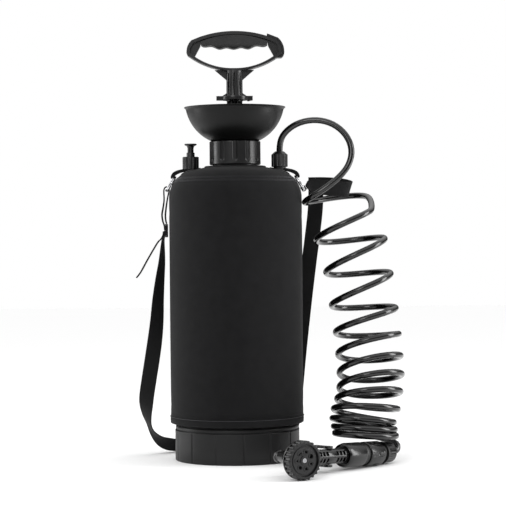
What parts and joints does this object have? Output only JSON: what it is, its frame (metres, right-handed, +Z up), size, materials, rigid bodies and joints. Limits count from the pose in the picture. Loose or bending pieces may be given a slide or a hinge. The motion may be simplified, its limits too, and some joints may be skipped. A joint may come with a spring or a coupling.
{
  "type": "portable shower",
  "caption": "Portable pump-up shower: covered water tank with filling funnel, D-handle hand pump, carry strap, relief valve, coiled hose and spray gun with pattern dial.",
  "frame": {"origin": "centre of the base foot on the floor", "axes": "+Z up along the tank, +X toward the hose outlet, -Y the front"},
  "size_m": [0.3792, 0.3909, 0.5997],
  "materials": {
    "tank_plastic": "smooth",
    "foot_plastic": "satin",
    "neoprene": "matte knit-faced neoprene",
    "binding": "folded edge tape",
    "webbing": "woven webbing",
    "ring_steel": "bright plated wire",
    "eyelet": "glossy",
    "collar": "satin",
    "funnel": "satin gloss",
    "pump_plastic": "satin",
    "pump_tube": "smooth",
    "handle": "fine texture",
    "grip": "soft grip",
    "seal": "smooth",
    "spring_steel": "drawn wire",
    "fitting": "satin",
    "hose": "glossy flexible tube",
    "gun_plastic": "satin gloss",
    "gun_dark": "soft matt",
    "dial_face": "satin"
  },
  "bodies": {
    "tank": {"tank_shell": "tank_plastic", "base_foot": "foot_plastic", "cover_sleeve": "neoprene", "cover_hem": "binding", "cover_binding": "binding", "cover_eyelets": "eyelet", "cover_tab_left": "webbing", "cover_tab_right": "webbing", "split_ring_left": "ring_steel", "split_ring_right": "ring_steel", "strap_loop": "webbing", "strap_slider": "eyelet", "strap_tail": "webbing", "strap_left": "webbing", "strap_back": "webbing", "strap_right": "webbing", "strap_fold": "webbing", "strap_eye": "webbing", "collar_nut": "collar", "neck_gasket": "seal", "funnel_bowl": "funnel", "relief_nut": "fitting", "relief_seal": "seal", "relief_body": "fitting", "relief_spring": "spring_steel", "hose_nut": "fitting", "outlet_seal": "seal", "outlet_spigot": "fitting", "dip_tube": "hose", "strainer": "fitting", "hose_lead": "hose", "hose_coil": "hose", "hose_tail": "hose", "hose_end_nut": "gun_plastic", "connector_body": "gun_dark", "connector_ring": "gun_dark", "gun_handle": "gun_plastic", "gun_head": "gun_plastic"},
    "pump": {"pump_cap": "pump_plastic", "cap_gasket": "seal", "pump_barrel": "pump_tube", "valve_cage": "pump_plastic"},
    "valve_flap": {"check_valve": "seal"},
    "plunger": {"piston": "pump_tube", "piston_cup": "seal"},
    "handle": {"pump_rod": "pump_plastic", "pump_handle": "handle", "handle_grip": "grip", "handle_clip": "handle"},
    "relief_knob": {"relief_pin": "fitting", "relief_oring": "seal"},
    "dial": {"dial_bezel": "gun_dark", "dial_plate": "dial_face", "dial_screw": "spring_steel"},
    "lever": {"flow_lever": "gun_plastic"},
    "release_sleeve": {"connector_sleeve": "gun_plastic", "connector_spring": "spring_steel"}
  },
  "joints": [
    {"name": "pump_lift", "type": "slide", "parent": "tank", "child": "pump", "axis": [0, 0, 1], "range_m": [0, 0.27]},
    {"name": "pump_stroke", "type": "slide", "parent": "pump", "child": "plunger", "axis": [0, 0, 1], "range_m": [-0.018, 0.214]},
    {"name": "handle_turn", "type": "hinge", "parent": "plunger", "child": "handle", "pos_m": [0, 0, 0.5], "axis": [0, 0, 1], "range_deg": [0, 60]},
    {"name": "check_open", "type": "slide", "parent": "pump", "child": "valve_flap", "axis": [0, 0, -1], "range_m": [0, 0.002], "stiffness_N_per_m": 20, "springref_m": -0.002},
    {"name": "relief_pull", "type": "slide", "parent": "tank", "child": "relief_knob", "axis": [0, 0, 1], "range_m": [0, 0.004], "stiffness_N_per_m": 800, "springref_m": -0.004, "deforming": ["relief_spring"]},
    {"name": "dial_turn", "type": "hinge", "parent": "tank", "child": "dial", "pos_m": [0.0887, -0.252, 0.0257], "axis": [0.5299, -0.848, 0], "continuous": true},
    {"name": "flow_lever_turn", "type": "hinge", "parent": "tank", "child": "lever", "pos_m": [0.1196, -0.17553, 0.02215], "axis": [0.0319, 0.0389, 0.9987], "range_deg": [0, 45]},
    {"name": "connector_release", "type": "slide", "parent": "tank", "child": "release_sleeve", "axis": [0.6337, 0.772, -0.0503], "range_m": [0, 0.004], "stiffness_N_per_m": 900, "springref_m": -0.004}
  ]
}
